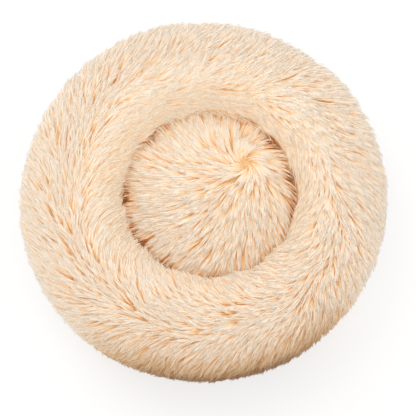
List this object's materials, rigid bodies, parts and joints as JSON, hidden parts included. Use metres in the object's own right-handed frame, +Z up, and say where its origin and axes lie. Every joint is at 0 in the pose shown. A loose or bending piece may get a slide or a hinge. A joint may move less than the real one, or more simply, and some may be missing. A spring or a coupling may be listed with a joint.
{
  "type": "round pet bed",
  "caption": "Round pet bed: a stuffed ring bolster in long-pile plush round a domed cushion, on an anti-slip base whose edge zips open at the back.",
  "frame": {"origin": "middle of the underside, on the surface that the bed stands on", "axes": "+Z up; +Y towards the back edge, where the zip is; +X to the right as seen from the front"},
  "size_m": [0.6005, 0.5962, 0.1795],
  "materials": {
    "plush": "long-pile shag plush, apricot cream",
    "liner": "thin white nonwoven",
    "filling": "loose white polyester fibre",
    "base_cloth": "coated plain-weave cloth",
    "rubber": "soft matt anti-slip coating",
    "tape": "ribbed woven tape",
    "thread": "polyester sewing thread",
    "zip_tape": "woven zip tape",
    "coil": "nylon coil, semi-gloss",
    "metal": "plated zinc, satin"
  },
  "bodies": {
    "bed": {"bolster_cover": "plush", "cushion_cover": "plush", "bolster_liner": "liner", "bolster_filling": "filling", "cushion_liner_top": "liner", "cushion_liner_bottom": "liner", "cushion_filling": "filling", "well_seam_tape": "tape", "well_seam_stitching_inner": "thread", "well_seam_stitching_outer": "thread", "base_cloth": "base_cloth", "antislip_layer": "rubber", "base_edge_tape": "tape", "base_edge_stitching_lower": "thread", "base_edge_stitching_upper": "thread", "zip_tape_lower": "zip_tape", "zip_tape_upper": "zip_tape", "zip_coil_lower": "coil", "zip_coil_upper": "coil", "zip_top_stop_lower": "metal", "zip_top_stop_upper": "metal", "zip_bottom_stop": "metal"},
    "slider": {"zip_slider": "metal", "zip_slider_bail": "metal"},
    "puller": {"zip_puller": "metal"}
  },
  "joints": [
    {"name": "zip_slide", "type": "hinge", "parent": "bed", "child": "slider", "pos_m": [0, 0, 0.01546], "axis": [0, 0, 1], "range_deg": [0, 145.8]},
    {"name": "puller_swing", "type": "hinge", "parent": "slider", "child": "puller", "pos_m": [0.25439, 0.0781, 0.01127], "axis": [-0.7793, -0.2392, -0.5792], "range_deg": [-35, 140]}
  ]
}
